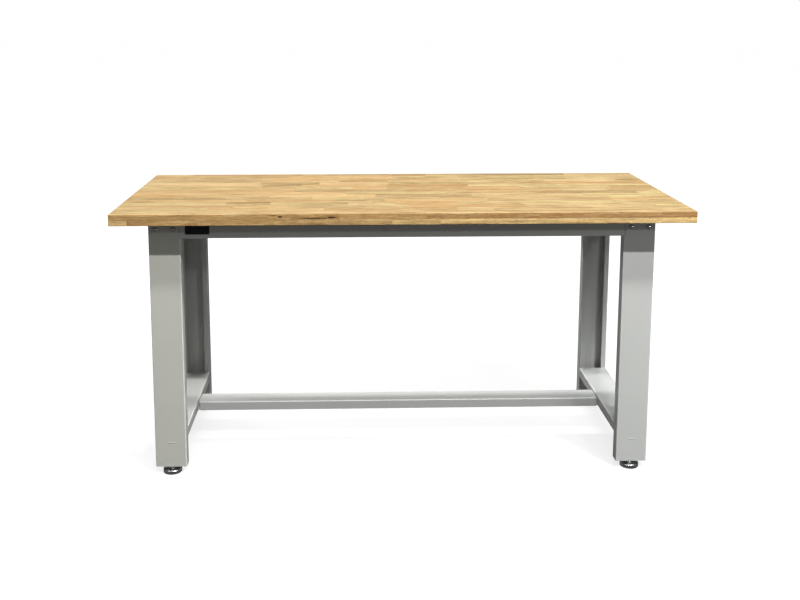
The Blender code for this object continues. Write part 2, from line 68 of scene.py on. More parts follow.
# Edges that bend by more than this are shaded sharp, are eased, or count as corners of the top
SHARP_BEND = math.radians(32)
EASED_BEND = math.radians(40)
CORNER_BEND = math.radians(45)

# Section axes: across and up, with the length along X or along Y
ALONG_X = Matrix(((0, 0, 1, 0), (1, 0, 0, 0), (0, 1, 0, 0), (0, 0, 0, 1)))
ALONG_Y = Matrix(((1, 0, 0, 0), (0, 0, -1, 0), (0, 1, 0, 0), (0, 0, 0, 1)))


# Small helpers
def at(x, y, z):
    return Matrix.Translation((x, y, z))


def half_turn(turn):
    return Matrix.Rotation(math.pi if turn else 0.0, 4, "Z")


def pointing(direction):
    """The rotation that takes +Z to a direction."""
    return Vector(direction).to_track_quat("Z", "Y").to_matrix().to_4x4()


def middle_of(node):
    low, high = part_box(node)
    return (low + high) / 2


def end_of(node, axis, sign):
    """Where a CAD node ends along an axis, on the side that the sign says."""
    low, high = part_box(node)
    return high[axis] if sign > 0 else low[axis]


def piece(name, mesh, finish, body, node, matrix=None):
    """A piece that stands for a CAD node, rides on its body and has its finish."""
    obj = bpy.data.objects.new(name, mesh)
    bpy.context.scene.collection.objects.link(obj)
    obj.matrix_world = matrix or Matrix.Identity(4)
    if not mesh.materials:
        mesh.materials.append(finish)
    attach(obj, body)
    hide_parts(node)
    return obj


def mesh_of(name, bm):
    mesh = bpy.data.meshes.new(name)
    bm.to_mesh(mesh)
    bm.free()
    return mesh


def shade_round(mesh):
    """Shades a mesh smooth, apart from its sharp edges."""
    mesh.shade_smooth()
    mesh.set_sharp_from_angle(angle=SHARP_BEND)


def keep_flat(obj):
    """Keeps a smoothly shaded piece's flat faces flat to the light."""
    flat = obj.modifiers.new("flat_faces", "WEIGHTED_NORMAL")
    flat.keep_sharp = False


def skin(bm, loops, bored=False):
    """Faces from each loop of points to the next, and caps.
    A bored form has no caps: its last loop joins its first."""
    following = [*loops[1:], loops[0]] if bored else loops[1:]
    count = len(loops[0])
    for above, below in zip(loops, following):
        for here in range(count):
            after = (here + 1) % count
            bm.faces.new((above[here], below[here], below[after], above[after]))
    if not bored:
        bm.faces.new(loops[0])
        bm.faces.new(reversed(loops[-1]))
    bmesh.ops.recalc_face_normals(bm, faces=bm.faces)


# Sockets of a node that mixes colours
MIX_FACTOR = 0
MIX_A = 6
MIX_B = 7
MIX_RESULT = 2

# Ranges that most values of a noise lie in
NOISE_MIDDLE = (0.3, 0.7)
NOISE_WIDE = (0.2, 0.8)


# Node trees of materials
class Nodes:
    """A material's node tree, with short ways to add and join nodes."""

    def __init__(self, name):
        self.material = bpy.data.materials.new(name)
        self.material.use_nodes = True
        self.tree = self.material.node_tree
        self.shader = self.tree.nodes["Principled BSDF"]

    def add(self, kind, **settings):
        node = self.tree.nodes.new(kind)
        for name, value in settings.items():
            setattr(node, name, value)
        return node

    def feed(self, socket, value):
        """Joins an output to a socket, or sets the socket's own value."""
        if isinstance(value, bpy.types.NodeSocket):
            self.tree.links.new(value, socket)
        else:
            socket.default_value = value

    def set(self, **values):
        """Sets inputs of the shader: base_color sets Base Color."""
        for name, value in values.items():
            title = name.replace("_", " ").title().replace("Ior", "IOR")
            self.feed(self.shader.inputs[title], value)

    def places(self):
        return self.add("ShaderNodeTexCoord").outputs["Object"]

    def facing(self, axis):
        """How far a face points along an axis or against it, from 0 to 1."""
        parts = self.add("ShaderNodeSeparateXYZ")
        self.feed(parts.inputs["Vector"], self.add("ShaderNodeNewGeometry").outputs["True Normal"])
        return self.math("ABSOLUTE", parts.outputs[axis])

    def vector(self, operation, a, b):
        node = self.add("ShaderNodeVectorMath", operation=operation)
        self.feed(node.inputs[0], a)
        self.feed(node.inputs[1], b)
        return node.outputs["Vector"]

    def length(self, vector):
        node = self.add("ShaderNodeVectorMath", operation="LENGTH")
        self.feed(node.inputs[0], vector)
        return node.outputs["Value"]

    def math(self, operation, a, b=0.0):
        node = self.add("ShaderNodeMath", operation=operation)
        self.feed(node.inputs[0], a)
        self.feed(node.inputs[1], b)
        return node.outputs["Value"]

    def noise(self, vector, waves, detail, roughness=0.5):
        """Noise with so many waves a metre."""
        node = self.add("ShaderNodeTexNoise")
        self.feed(node.inputs["Vector"], vector)
        self.feed(node.inputs["Scale"], waves)
        self.feed(node.inputs["Detail"], detail)
        self.feed(node.inputs["Roughness"], roughness)
        return node.outputs["Fac"]

    def drawn_out(self, vector, waves, detail=2.0, roughness=0.5):
        """Noise with so many waves a metre along each axis."""
        return self.noise(self.vector("MULTIPLY", vector, waves), 1.0, detail, roughness)

    def span(self, value, low, high, to_low=0.0, to_high=1.0, smooth=False):
        """A value's range carried over to another, and kept inside it."""
        node = self.add("ShaderNodeMapRange", clamp=True)
        node.interpolation_type = "SMOOTHSTEP" if smooth else "LINEAR"
        self.feed(node.inputs["Value"], value)
        self.feed(node.inputs["From Min"], low)
        self.feed(node.inputs["From Max"], high)
        self.feed(node.inputs["To Min"], to_low)
        self.feed(node.inputs["To Max"], to_high)
        return node.outputs["Result"]

    def mix(self, factor, a, b):
        """A colour between two others. The factor is kept between 0 and 1."""
        node = self.add("ShaderNodeMix", data_type="RGBA", clamp_factor=True)
        self.feed(node.inputs[MIX_FACTOR], factor)
        self.feed(node.inputs[MIX_A], a)
        self.feed(node.inputs[MIX_B], b)
        return node.outputs[MIX_RESULT]

    def bump(self, height, strength, distance):
        """Relief over any that is there already."""
        node = self.add("ShaderNodeBump")
        self.feed(node.inputs["Height"], height)
        node.inputs["Strength"].default_value = strength
        node.inputs["Distance"].default_value = distance
        for link in self.shader.inputs["Normal"].links:
            self.feed(node.inputs["Normal"], link.from_socket)
        self.feed(self.shader.inputs["Normal"], node.outputs["Normal"])


# Colours of the wood
WOOD_LIGHT = (0.452, 0.344, 0.173, 1.0)
WOOD_STRAW = (0.452, 0.377, 0.145, 1.0)
WOOD_EDGE = (0.760, 0.530, 0.225, 1.0)
WOOD_DARK = (0.155, 0.086, 0.031, 1.0)
WOOD_PINK = (0.365, 0.185, 0.060, 1.0)
# Lighter flecks along the grain: partly the wood's own fleck, partly a painted sheen
WOOD_FLECK_AND_SHEEN = (0.660, 0.510, 0.280, 1.0)
WOOD_LINE = (0.105, 0.048, 0.016, 1.0)
WOOD_GLUE = (0.140, 0.083, 0.034, 1.0)
WOOD_KNOT = (0.026, 0.014, 0.007, 1.0)

# Where a stave's seed puts it in the log: how far along, how far from the heart and in which direction
LOG_SPREAD = 37.0
LOG_RADIUS = 0.07
LOG_SWINGS = (("Y", 91.0, "SINE"), ("Z", 57.0, "COSINE"))

# Growth rings: radians a metre out from the heart, and radians that noise moves them by
RING_RATE = 660.0
RING_WANDER = 18.0

# Noise along the grain: waves a metre along it and across it, detail and roughness
WANDER_GRAIN = (2.2, 22.0, 2.0, 0.5)
BAND_GRAIN = (4.0, 50.0, 3.0, 0.6)
STREAK_GRAIN = (3.5, 120.0, 4.0, 0.6)
FIGURE_GRAIN = (17.0, 75.0, 3.0, 0.65)
MOTTLE_GRAIN = (38.0, 300.0, 4.0, 0.75)
FIBRE_GRAIN = (22.0, 1100.0, 2.0, 0.5)
CROWD_GRAIN = (3.0, 30.0, 2.0, 0.5)
LINE_GRAIN = (7.0, 220.0, 2.0, 0.5)
PORE_GRAIN = (80.0, 1300.0, 1.0, 0.5)
HEART_GRAIN = (2.2, 60.0, 1.0, 0.5)
FLECK_AND_SHEEN_GRAIN = (8.0, 170.0, 2.0, 0.5)

# How much darker each makes the wood: a range of its values, and what that is carried over to
BAND_DEPTH = (0.30, 0.70, -0.24, 0.24)
STREAK_DEPTH = (0.25, 0.75, -0.17, 0.17)
FIGURE_DEPTH = (0.25, 0.75, -0.26, 0.26)
MOTTLE_DEPTH = (0.30, 0.70, -0.32, 0.32)
RING_DEPTH = (-1.0, 1.0, -0.06, 0.06)
END_RING_DEPTH = (-1.0, 1.0, -0.05, 0.30)
FIBRE_DEPTH = (0.20, 0.80, -0.08, 0.08)

# How far each shows: the same, with 0 to 1 where the second range isn't given, or a plain share
FACING_SPAN = (0.4, 0.6)
CROWD_SPAN = (0.38, 0.66)
LINE_SPAN = (0.52, 0.66)
PORE_SPAN = (0.56, 0.68)
STRAW_SPAN = (0.0, 0.45, 0.4, 0.0)
PINK_SPAN = (0.3, 1.0)
PINK_ON_SIDES = (0.0, 1.0, 0.42, 0.88)
HEART_SPAN = (0.60, 0.70, 0.0, 0.35)
FLECK_AND_SHEEN_SPAN = (0.58, 0.74, 0.0, 0.6)
LINE_SHARE = 0.48
PORE_SHARE = 0.40
GLUE_SHARE = 0.55

# Knots and cracks in the front edge: place along X and up from the seam, and half sizes along and up
KNOTS = (
    ((-0.381, 0.0090), (0.0070, 0.0030)),
    ((-0.270, 0.0038), (0.0560, 0.0019)),
    ((-0.222, 0.0062), (0.0120, 0.0026)),
    ((-0.400, 0.0130), (0.0160, 0.0009)),
)
KNOT_NOISE = (260.0, 3.0)
KNOT_RAGGED = (-0.5, 0.5)
KNOT_SPAN = (0.75, 1.35, 0.92, 0.0)

# Surface of the wood, with its relief as strength and depth
WOOD_GLOSS = 0.2
WOOD_ROUGHNESS = (0.3, 1.1, 0.38, 0.56)
WOOD_RELIEF = (0.25, 0.0002)
PORE_ROUGHNESS = 0.4
PORE_RELIEF = 0.8


def wood_material():
    """Oiled staves, each with its own tone and place in the log: rings, streaks, pores and glue lines,
    and lighter flecks that are partly a painted sheen.
    """
    nodes = Nodes("oiled_staves")
    stave = nodes.add("ShaderNodeAttribute", attribute_name="stave")
    parts = nodes.add("ShaderNodeSeparateColor")
    nodes.feed(parts.inputs["Color"], stave.outputs["Color"])
    tone, warmth, seed = (parts.outputs[name] for name in ("Red", "Green", "Blue"))
    joint = stave.outputs["Alpha"]

    shift = nodes.add("ShaderNodeCombineXYZ")
    nodes.feed(shift.inputs["X"], nodes.math("MULTIPLY", seed, LOG_SPREAD))
    for axis, rate, wave in LOG_SWINGS:
        swing = nodes.math(wave, nodes.math("MULTIPLY", seed, rate))
        nodes.feed(shift.inputs[axis], nodes.math("MULTIPLY", swing, LOG_RADIUS))
    here = nodes.places()
    place = nodes.vector("ADD", here, shift.outputs["Vector"])

    def grain(along, across, detail, roughness):
        return nodes.drawn_out(place, (along, across, across), detail, roughness)

    radius = nodes.length(nodes.vector("MULTIPLY", place, (0.0, 1.0, 1.0)))
    wander = nodes.math("MULTIPLY", grain(*WANDER_GRAIN), RING_WANDER)
    ring = nodes.math("SINE", nodes.math("ADD", nodes.math("MULTIPLY", radius, RING_RATE), wander))
    streak = grain(*STREAK_GRAIN)
    fibre = grain(*FIBRE_GRAIN)
    pore = nodes.span(grain(*PORE_GRAIN), *PORE_SPAN)
    crowding = nodes.span(grain(*CROWD_GRAIN), *CROWD_SPAN)
    line = nodes.math("MULTIPLY", nodes.span(grain(*LINE_GRAIN), *LINE_SPAN), crowding)
    sides = nodes.span(nodes.facing("Y"), *FACING_SPAN)
    ends = nodes.span(nodes.facing("X"), *FACING_SPAN)

    depth = tone
    for darker in (
        nodes.span(grain(*BAND_GRAIN), *BAND_DEPTH),
        nodes.span(streak, *STREAK_DEPTH),
        nodes.span(grain(*FIGURE_GRAIN), *FIGURE_DEPTH),
        nodes.math("MULTIPLY", sides, nodes.span(grain(*MOTTLE_GRAIN), *MOTTLE_DEPTH)),
        nodes.span(ring, *RING_DEPTH),
        nodes.math("MULTIPLY", ends, nodes.span(ring, *END_RING_DEPTH)),
        nodes.span(fibre, *FIBRE_DEPTH),
    ):
        depth = nodes.math("ADD", depth, darker)

    light = nodes.mix(nodes.span(warmth, *STRAW_SPAN), WOOD_LIGHT, WOOD_STRAW)
    colour = nodes.mix(depth, nodes.mix(sides, light, WOOD_EDGE), WOOD_DARK)
    pink = nodes.math("MULTIPLY", nodes.span(warmth, *PINK_SPAN), nodes.span(sides, *PINK_ON_SIDES))
    # The lighter flecks, kept off the end grain, are partly a painted sheen
    for share, tint in (
        (pink, WOOD_PINK),
        (nodes.span(grain(*HEART_GRAIN), *HEART_SPAN), WOOD_DARK),
        (nodes.math("SUBTRACT", nodes.span(grain(*FLECK_AND_SHEEN_GRAIN), *FLECK_AND_SHEEN_SPAN), ends), WOOD_FLECK_AND_SHEEN),
        (nodes.math("MULTIPLY", line, LINE_SHARE), WOOD_LINE),
        (nodes.math("MULTIPLY", pore, PORE_SHARE), WOOD_LINE),
        (nodes.math("MULTIPLY", joint, GLUE_SHARE), WOOD_GLUE),
    ):
        colour = nodes.mix(share, colour, tint)

    low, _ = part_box("top_upper_layer")
    ragged = nodes.span(nodes.noise(here, *KNOT_NOISE), *NOISE_WIDE, *KNOT_RAGGED)
    for (x, up), (half_x, half_up) in KNOTS:
        offset = nodes.vector("SUBTRACT", here, (x, low.y, low.z + up))
        reach = nodes.length(nodes.vector("DIVIDE", offset, (half_x, half_x, half_up)))
        knot = nodes.span(nodes.math("ADD", reach, ragged), *KNOT_SPAN)
        colour = nodes.mix(knot, colour, WOOD_KNOT)

    dull = nodes.math("ADD", streak, nodes.math("MULTIPLY", pore, PORE_ROUGHNESS))
    nodes.set(
        base_color=colour,
        roughness=nodes.span(dull, *WOOD_ROUGHNESS),
        specular_ior_level=WOOD_GLOSS,
    )
    relief = nodes.math("SUBTRACT", fibre, nodes.math("MULTIPLY", pore, PORE_RELIEF))
    nodes.bump(relief, *WOOD_RELIEF)
    return nodes.material


# Powder coat: colours, noise as waves a metre, detail and roughness, and relief as strength and depth
PAINT_LIGHT = (0.550, 0.556, 0.535, 1.0)
PAINT_DARK = (0.516, 0.522, 0.502, 1.0)
PAINT_CLOUD = (7.0, 3.0)
PAINT_SPECK = (2600.0, 1.0)
PAINT_PEEL = (750.0, 2.0, 0.55)
CLOUD_SHARE = 0.6
SPECK_SHARE = 0.4
PAINT_ROUGHNESS = (0.29, 0.32)
PEEL_RELIEF = (0.12, 0.0002)

# Painted highlights: lighter lines along the folds, where the bends catch the light
FOLD_PAINTED_HIGHLIGHT = (0.890, 0.905, 0.910, 1.0)
FOLD_NOISE = (40.0, 2.0)
FOLD_STRENGTH = (0.35, 0.65)

# Painted light: the coat of the left front leg is tinted a little warmer than the rest, for the warmer
# light on that side
LEG_PAINTED_LIGHT_TINT = {"left": (1.000, 0.990, 0.932, 1.0), "right": (1.000, 1.003, 1.000, 1.0)}

# Faint ridges on the front legs, over welds behind: place across and up from the middle, half sizes
LEG_RIDGES = {
    "left": (((0.0035, -0.3265), (0.020, 0.0040)), ((0.0035, -0.3355), (0.009, 0.0025))),
    "right": (((0.0010, -0.3315), (0.011, 0.0035)),),
}
RIDGE_NOISE = (180.0, 2.0)
RIDGE_RAGGED = (-0.3, 0.3)
RIDGE_SPAN = (0.0, 1.2, 1.0, 0.0)
RIDGE_RELIEF = (1.0, 0.0007)


def tinted(colour, tint):
    return tuple(value * share for value, share in zip(colour, tint))


def paint_material(name, ridges=(), tint=WHITE):
    """Light grey powder coat with a fine orange-peel surface, and painted highlights along the folds."""
    nodes = Nodes(name)
    place = nodes.places()
    cloud = nodes.noise(place, *PAINT_CLOUD)
    cloudy = nodes.span(cloud, *NOISE_MIDDLE, 0.0, CLOUD_SHARE)
    specks = nodes.span(nodes.noise(place, *PAINT_SPECK), *NOISE_MIDDLE, 0.0, SPECK_SHARE)
    shade = nodes.math("ADD", cloudy, specks)
    # A tint here is painted light: the colour of the light on a piece, put into its coat
    coat = nodes.mix(shade, tinted(PAINT_LIGHT, tint), tinted(PAINT_DARK, tint))
    # Painted highlight: the folds are lightened, broken up by noise, as if they caught the light
    fold = nodes.add("ShaderNodeAttribute", attribute_name="fold")
    highlight_breakup = nodes.span(nodes.noise(place, *FOLD_NOISE), *NOISE_MIDDLE, *FOLD_STRENGTH)
    bright = nodes.math("MULTIPLY", fold.outputs["Fac"], highlight_breakup)
    nodes.set(
        base_color=nodes.mix(bright, coat, tinted(FOLD_PAINTED_HIGHLIGHT, tint)),
        roughness=nodes.span(cloud, *NOISE_WIDE, *PAINT_ROUGHNESS),
    )
    for (x, z), (half_x, half_z) in ridges:
        offset = nodes.vector("SUBTRACT", place, (x, 0.0, z))
        reach = nodes.length(nodes.vector("DIVIDE", offset, (half_x, 1.0, half_z)))
        ragged = nodes.span(nodes.noise(place, *RIDGE_NOISE), *NOISE_WIDE, *RIDGE_RAGGED)
        swell = nodes.span(nodes.math("ADD", reach, ragged), *RIDGE_SPAN, smooth=True)
        nodes.bump(swell, *RIDGE_RELIEF)
    nodes.bump(nodes.noise(place, *PAINT_PEEL), *PEEL_RELIEF)
    return nodes.material


# Bright plating
CHROME_CLEAN = (0.620, 0.625, 0.635, 1.0)
CHROME_DULL = (0.440, 0.445, 0.455, 1.0)
CHROME_SMEAR = (120.0, 3.0)
CHROME_SMEARED = (0.35, 0.70)
CHROME_ROUGHNESS = (0.08, 0.18)
CHROME_MARKS = (60.0, 60.0, 4200.0)
CHROME_RELIEF = (0.06, 0.0001)


def chrome_material():
    """Bright plating with turning marks and faint smears."""
    nodes = Nodes("bright_plating")
    place = nodes.places()
    smear = nodes.noise(place, *CHROME_SMEAR)
    nodes.set(
        base_color=nodes.mix(nodes.span(smear, *CHROME_SMEARED), CHROME_CLEAN, CHROME_DULL),
        metallic=1.0,
        roughness=nodes.span(smear, *NOISE_MIDDLE, *CHROME_ROUGHNESS),
    )
    nodes.bump(nodes.drawn_out(place, CHROME_MARKS), *CHROME_RELIEF)
    return nodes.material


# Zinc plating, and the paler zinc of the stems
ZINC_LIGHT = (0.520, 0.530, 0.545, 1.0)
ZINC_DARK = (0.330, 0.335, 0.345, 1.0)
ZINC_ROUGHNESS = (0.14, 0.26)
ZINC_METAL = 1.0
ZINC_CRYSTALS = (700.0, 3.0, 0.6)
ZINC_SCRATCHES = (1500.0, 1500.0, 200.0)
ZINC_RELIEF = (0.08, 0.0001)
STEM_LIGHT = (0.860, 0.860, 0.850, 1.0)
STEM_DARK = (0.680, 0.680, 0.675, 1.0)
STEM_ROUGHNESS = (0.38, 0.52)
STEM_METAL = 0.3


def zinc_material(name, light, dark, roughness, metal):
    """Zinc plating, mottled in fine crystals."""
    nodes = Nodes(name)
    place = nodes.places()
    crystal = nodes.noise(place, *ZINC_CRYSTALS)
    nodes.set(
        base_color=nodes.mix(nodes.span(crystal, *NOISE_MIDDLE), light, dark),
        metallic=metal,
        roughness=nodes.span(crystal, *NOISE_MIDDLE, *roughness),
    )
    nodes.bump(nodes.drawn_out(place, ZINC_SCRATCHES), *ZINC_RELIEF)
    return nodes.material


# Satin black
BLACK_DEEP = (0.010, 0.010, 0.011, 1.0)
BLACK_WORN = (0.022, 0.022, 0.023, 1.0)
BLACK_CLOUD = (90.0, 3.0)
BLACK_GRAIN = (300.0, 300.0, 5000.0)
BLACK_ROUGHNESS = (0.42, 0.55)
BLACK_GLOSS = 0.2
BLACK_RELIEF = (0.10, 0.0001)


def black_material():
    """Satin black, finely grained."""
    nodes = Nodes("satin_black")
    place = nodes.places()
    grain = nodes.drawn_out(place, BLACK_GRAIN)
    cloud = nodes.noise(place, *BLACK_CLOUD)
    nodes.set(
        base_color=nodes.mix(nodes.span(cloud, *NOISE_MIDDLE), BLACK_DEEP, BLACK_WORN),
        roughness=nodes.span(grain, *NOISE_MIDDLE, *BLACK_ROUGHNESS),
        specular_ior_level=BLACK_GLOSS,
    )
    nodes.bump(grain, *BLACK_RELIEF)
    return nodes.material


WOOD = wood_material()
PAINT = paint_material("grey_powder_coat")
LEG_PAINT = {}
for side, _ in SIDES:
    LEG_PAINT[side] = paint_material(f"grey_powder_coat_{side}_leg", LEG_RIDGES[side], LEG_PAINTED_LIGHT_TINT[side])
CHROME = chrome_material()
ZINC = zinc_material("zinc_plating", ZINC_LIGHT, ZINC_DARK, ZINC_ROUGHNESS, ZINC_METAL)
STEM_ZINC = zinc_material("stem_plating", STEM_LIGHT, STEM_DARK, STEM_ROUGHNESS, STEM_METAL)
BLACK = black_material()


# Folded sheet
SHEET = 0.002
BEND_INSIDE = 0.002
BEND_RADIUS = BEND_INSIDE + SHEET
BEND_STEPS = 8
CUT_EDGE_ROUND = 0.0003
CUT_EDGE_STEPS = 2
LEG_LIP = 0.018
APRON_RETURN = 0.012

# A point lies on a run of a section if the way over it is longer by less than this
LEAST_DETOUR = 0.000003


def on_flat(point):
    """A point of a section that lies in no fold."""
    return Vector((*point, 0.0))


def rounded_path(corners, radius):
    """The points of a folded section, with a fine arc at each right-angled fold.
    The third number of a point says how far it lies into a fold, from 0 to 1."""
    corners = [on_flat(corner) for corner in corners]
    points = [corners[0]]
    for before, corner, after in zip(corners, corners[1:], corners[2:]):
        back = (before - corner).normalized() * radius
        onward = (after - corner).normalized() * radius
        centre = corner + back + onward
        for step in range(BEND_STEPS + 1):
            turn = math.pi / 2 * step / BEND_STEPS
            point = centre - onward * math.cos(turn) - back * math.sin(turn)
            point.z = math.sin(2 * turn)
            points.append(point)
    points.append(corners[-1])
    return points


def with_point(path, point):
    """A path with one more point on one of its straight runs."""
    point = on_flat(point)
    for place, (start, end) in enumerate(zip(path, path[1:])):
        detour = (point - start).length + (end - point).length - (end - start).length
        if detour < LEAST_DETOUR:
            return [*path[: place + 1], point, *path[place + 1 :]]
    return path


def folded(node, corners, length, matrix, notch=None, finish=PAINT):
    """A folded sheet along local Z, for a CAD node: an open strip, thickened inwards, with eased edges.
    A notch is the section point where it starts, the one where it ends, and its lowest height."""
    path = rounded_path(corners, BEND_RADIUS)
    levels = [-length / 2, length / 2]
    if notch:
        start, end, from_height = notch
        path = with_point(with_point(path, start), end)
        levels.insert(1, from_height)
        cut = range(*sorted((path.index(on_flat(start)), path.index(on_flat(end)))))
    bm = bmesh.new()
    # How far each point lies into a fold: the mask for the paint's painted highlight along the folds
    fold = bm.verts.layers.float.new("fold")
    grid = []
    for level in levels:
        line = []
        for point in path:
            vert = bm.verts.new((point.x, point.y, level))
            vert[fold] = point.z
            line.append(vert)
        grid.append(line)
    for row, (below, above) in enumerate(zip(grid, grid[1:])):
        for column in range(len(path) - 1):
            if notch and row == 1 and column in cut:
                continue
            bm.faces.new((below[column], below[column + 1], above[column + 1], above[column]))
    loose = [vert for vert in bm.verts if not vert.link_faces]
    bmesh.ops.delete(bm, geom=loose, context="VERTS")
    mesh = mesh_of(node, bm)
    mesh.shade_smooth()
    obj = piece(f"{node}_sheet", mesh, finish, BENCH, node, matrix)
    thick = obj.modifiers.new("sheet_thickness", "SOLIDIFY")
    thick.thickness = SHEET
    thick.offset = -1
    thick.use_even_offset = True
    ease_edges(obj)


def ease_edges(obj):
    """Rounds a piece's sharp edges, and keeps its flat faces flat to the light."""
    ease = obj.modifiers.new("eased_edges", "BEVEL")
    ease.width = CUT_EDGE_ROUND
    ease.segments = CUT_EDGE_STEPS
    ease.limit_method = "ANGLE"
    ease.angle_limit = EASED_BEND
    keep_flat(obj)


def build_frame():
    """Legs, aprons, side rails and stretcher."""
    apron_low, apron_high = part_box("apron_front")
    apron_height = apron_high.z - apron_low.z
    apron_flange = apron_high.y - apron_low.y
    for end, sy in ENDS:
        for side, sx in SIDES:
            node = f"leg_{end}_{side}"
            low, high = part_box(node)
            width, deep, length = high - low
            section = (
                (LEG_LIP - width / 2, deep / 2),
                (-width / 2, deep / 2),
                (-width / 2, -deep / 2),
                (width / 2, -deep / 2),
                (width / 2, deep / 2),
                (width / 2 - LEG_LIP, deep / 2),
            )
            inner = sx * sy
            notch = (
                (inner * (width / 2 - BEND_RADIUS - NOTCH_GAP), -deep / 2),
                (inner * width / 2, apron_flange + SHEET + FIT_GAP + NOTCH_GAP - deep / 2),
                length / 2 - apron_height - NOTCH_GAP,
            )
            finish = LEG_PAINT[side] if sy < 0 else PAINT
            folded(node, section, length, at(*middle_of(node)) @ half_turn(sy > 0), notch, finish)

        node = f"apron_{end}"
        low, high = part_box(node)
        section = (
            (apron_flange, apron_height / 2),
            (0.0, apron_height / 2),
            (0.0, -apron_height / 2),
            (APRON_RETURN, -apron_height / 2),
        )
        placed = at(0, end_of(node, Y, sy), (low.z + high.z) / 2) @ half_turn(sy > 0)
        folded(node, section, high.x - low.x, placed @ ALONG_X)

    for side, _ in SIDES:
        for level in ("lower", "upper"):
            channel(f"rail_{level}_{side}", X, Y, ALONG_Y)
    channel("stretcher", Y, X, ALONG_X)


def channel(node, across, along, turn):
    """A channel with its open side down. across is the axis of its width and along that of its length."""
    low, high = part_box(node)
    width = high[across] - low[across]
    length = high[along] - low[along]
    height = high.z - low.z
    section = ((width / 2, -height), (width / 2, 0.0), (-width / 2, 0.0), (-width / 2, -height))
    centre = middle_of(node)
    folded(node, section, length, at(centre.x, centre.y, high.z) @ turn)


# Wooden top
TOP_EDGE_ROUND = 0.002
TOP_EDGE_STEPS = 4
TOP_CORNER_ROUND = 0.003
TOP_CORNER_STEPS = 6
SEAM_EDGE_ROUND = 0.0005
SEAM_EDGE_STEPS = 2
ROUND_PROFILE = 0.5
GROOVE_WIDTH = 0.0004
GROOVE_DEPTH = 0.00012
ROW_WIDTH = (0.040, 0.051)
STAVE_LENGTH = (0.11, 0.42)
STAVE_LEAST = 0.07
UPPER_SEED = 11
LOWER_SEED = 23

# Tones of the staves behind the front row: mean, spread and limits
TONE_MEAN = 0.42
TONE_SPREAD = 0.12
TONE_LEAST = 0.10
TONE_MOST = 0.70

# Boards along the front edge, left to right: share of the length where each ends, its tone and its warmth
FRONT_BOARDS_UPPER = (
    (0.147, 0.36, 0.71),
    (0.389, 0.49, 0.72),
    (0.536, 0.54, 0.71),
    (0.728, 0.62, 0.78),
    (0.939, 0.65, 0.80),
    (1.000, 0.70, 1.00),
)
FRONT_BOARDS_LOWER = (
    (0.031, 0.07, 0.20),
    (0.150, 0.50, 0.60),
    (0.278, 0.45, 0.65),
    (0.478, 0.36, 0.50),
    (0.561, 0.27, 0.40),
    (0.725, 0.40, 0.30),
    (0.883, 0.33, 0.40),
    (1.000, 0.18, 0.10),
)

# How much of a front board's look shows on the flat face, which faces up or down by at least so much
FRONT_ROW_TONE = 0.22
FRONT_ROW_SHARE = 0.3
FRONT_ROW_WARMTH = 0.7
FLAT_FACING = 0.7

Row = namedtuple("Row", "start end staves")
Stave = namedtuple("Stave", "end tone warmth seed")


def front_staves(start, end, rng, boards):
    """The staves of the front row, with the looks of the boards along the front edge."""
    length = end - start
    return [Stave(start + share * length, tone, warmth, rng.random()) for share, tone, warmth in boards]


def mixed_staves(start, end, rng):
    """The staves of any other row, with mixed lengths and looks."""
    shortest, longest = STAVE_LENGTH
    staves = []
    x = start
    while x < end:
        x += rng.uniform(shortest if staves else STAVE_LEAST, longest)
        if end - x < STAVE_LEAST:
            x = end
        tone = min(TONE_MOST, max(TONE_LEAST, rng.gauss(TONE_MEAN, TONE_SPREAD)))
        warmth = rng.random()
        seed = rng.random()
        staves.append(Stave(x, tone, warmth, seed))
    return staves


def stave_rows(low, high, rng, front_boards):
    """The rows of a layer from front to back, each with its staves from left to right."""
    rows = []
    start = low.y
    while start < high.y:
        end = start + rng.uniform(*ROW_WIDTH)
        if high.y - end < ROW_WIDTH[0]:
            end = high.y
        if rows:
            staves = mixed_staves(low.x, high.x, rng)
        else:
            staves = front_staves(low.x, high.x, rng, front_boards)
        rows.append(Row(start, end, staves))
        start = end
    return rows


def cut_staves(bm, rows):
    """Cuts a block's faces between the rows, and between the staves of each row."""
    for row in rows[1:]:
        geom = [*bm.verts, *bm.edges, *bm.faces]
        bmesh.ops.bisect_plane(bm, geom=geom, plane_co=(0, row.start, 0), plane_no=(0, 1, 0))
    for row in rows:
        for stave in row.staves[:-1]:
            faces = [f for f in bm.faces if row.start <= f.calc_center_median().y <= row.end]
            edges = {e for f in faces for e in f.edges}
            verts = {v for f in faces for v in f.verts}
            geom = [*verts, *edges, *faces]
            bmesh.ops.bisect_plane(bm, geom=geom, plane_co=(stave.end, 0, 0), plane_no=(1, 0, 0))


def build_layer(node, seed, front_boards, faces_up):
    """One layer of the top, glued up from staves, with fine grooves at the joints of its outer face."""
    low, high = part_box(node)
    rows = stave_rows(low, high, random.Random(seed), front_boards)
    block = at(*middle_of(node)) @ Matrix.Diagonal((*(high - low), 1.0))
    bm = bmesh.new()
    bmesh.ops.create_cube(bm, size=1.0, matrix=block)
    cut_staves(bm, rows)
    outer_z = high.z if faces_up else low.z
    inner_z = low.z if faces_up else high.z
    round_edges(bm, upright_corners(bm), TOP_CORNER_ROUND, TOP_CORNER_STEPS)
    round_edges(bm, outline_at(bm, outer_z), TOP_EDGE_ROUND, TOP_EDGE_STEPS)
    round_edges(bm, outline_at(bm, inner_z), SEAM_EDGE_ROUND, SEAM_EDGE_STEPS)
    groove = cut_grooves(bm, outer_z)
    mesh = mesh_of(node, bm)
    paint_staves(mesh, rows, groove)
    mesh.shade_smooth()
    obj = piece(f"{node}_staves", mesh, WOOD, BENCH, node)
    keep_flat(obj)


